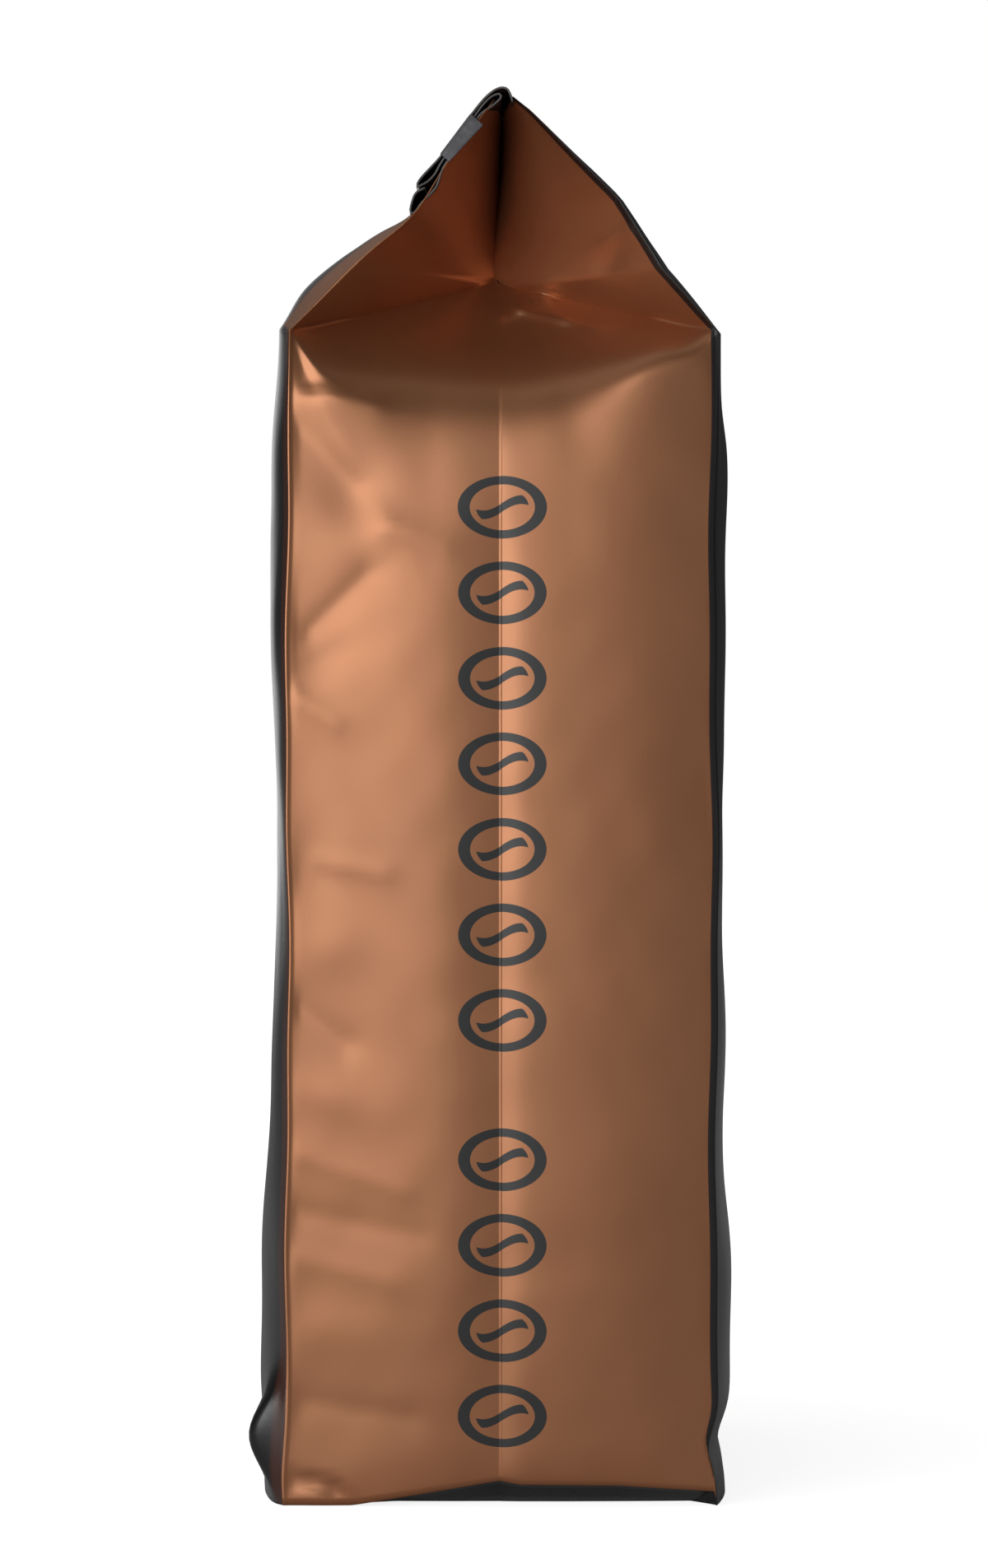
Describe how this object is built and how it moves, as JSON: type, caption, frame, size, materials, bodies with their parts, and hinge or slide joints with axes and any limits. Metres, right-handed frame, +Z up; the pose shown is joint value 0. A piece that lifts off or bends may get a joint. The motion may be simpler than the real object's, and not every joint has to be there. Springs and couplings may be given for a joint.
{
  "type": "coffee bag",
  "caption": "Filled upright coffee bag with copper side gussets, dark broad panels, and a rolled-down top held by a grey tie strip.",
  "frame": {"origin": "middle of the base, on the surface that the bag stands on", "axes": "+Z up, -Y out of the front panel towards which the top is rolled, +X out of one of the two gussets"},
  "size_m": [0.1324, 0.093, 0.2646],
  "materials": {
    "film": "satin metallic copper film with black panels",
    "strip": "frosted grey"
  },
  "bodies": {
    "root": {"bag": "film", "tie_strip": "strip"}
  },
  "joints": []
}
